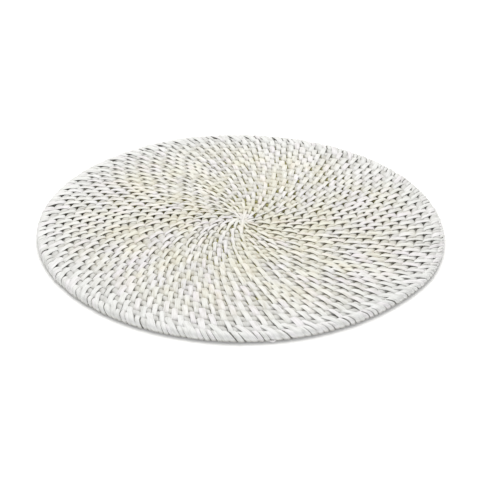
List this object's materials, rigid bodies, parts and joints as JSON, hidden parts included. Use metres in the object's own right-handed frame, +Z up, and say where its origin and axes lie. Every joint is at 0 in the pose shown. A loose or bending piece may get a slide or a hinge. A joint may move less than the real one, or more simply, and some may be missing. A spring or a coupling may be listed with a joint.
{
  "type": "round coiled rattan placemat",
  "caption": "Flat round placemat, coiled from one rattan rod wound outwards in a spiral and bound turn to turn with whitewashed rattan strip.",
  "frame": {"origin": "on the underside, under the middle of the mat's box", "axes": "+Z up, out of the top face; +X to the right and +Y away from the viewer of the picture"},
  "size_m": [0.3296, 0.3302, 0.007],
  "materials": {
    "rattan": "whitewashed rattan strip over a rattan rod, matt to satin"
  },
  "bodies": {
    "root": {"coiled_mat": "rattan"}
  },
  "joints": []
}
